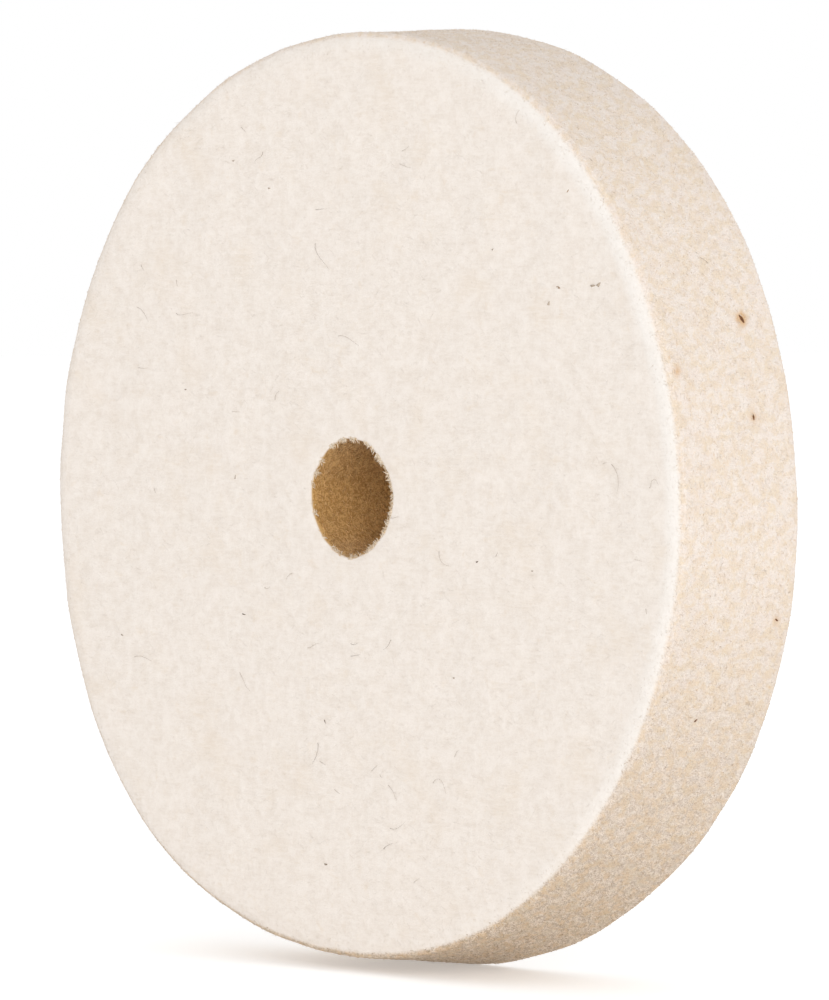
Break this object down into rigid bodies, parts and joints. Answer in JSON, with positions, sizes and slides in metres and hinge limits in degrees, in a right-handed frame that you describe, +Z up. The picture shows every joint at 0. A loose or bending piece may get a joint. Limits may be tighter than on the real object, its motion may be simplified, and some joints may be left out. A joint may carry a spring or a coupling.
{
  "type": "felt polishing wheel",
  "caption": "Round disc of hard pressed wool felt with a plain central bore and soft edges, for polishing on a grinder or buffing spindle.",
  "frame": {"origin": "centre of the spindle hole, midway between the two faces", "axes": "+Y along the spindle hole, from the front face to the back face; +Z up with the wheel standing on its rim"},
  "size_m": [0.15, 0.026, 0.1501],
  "materials": {
    "felt": "matted wool, fuzzy at the edges, whiter on the faces than on the cut rim",
    "burr": "dry plant splinter",
    "husk": "dry husk, ground flush"
  },
  "bodies": {
    "root": {"felt_wheel": "felt", "rim_slivers": "burr", "face_flecks": "husk"}
  },
  "joints": []
}
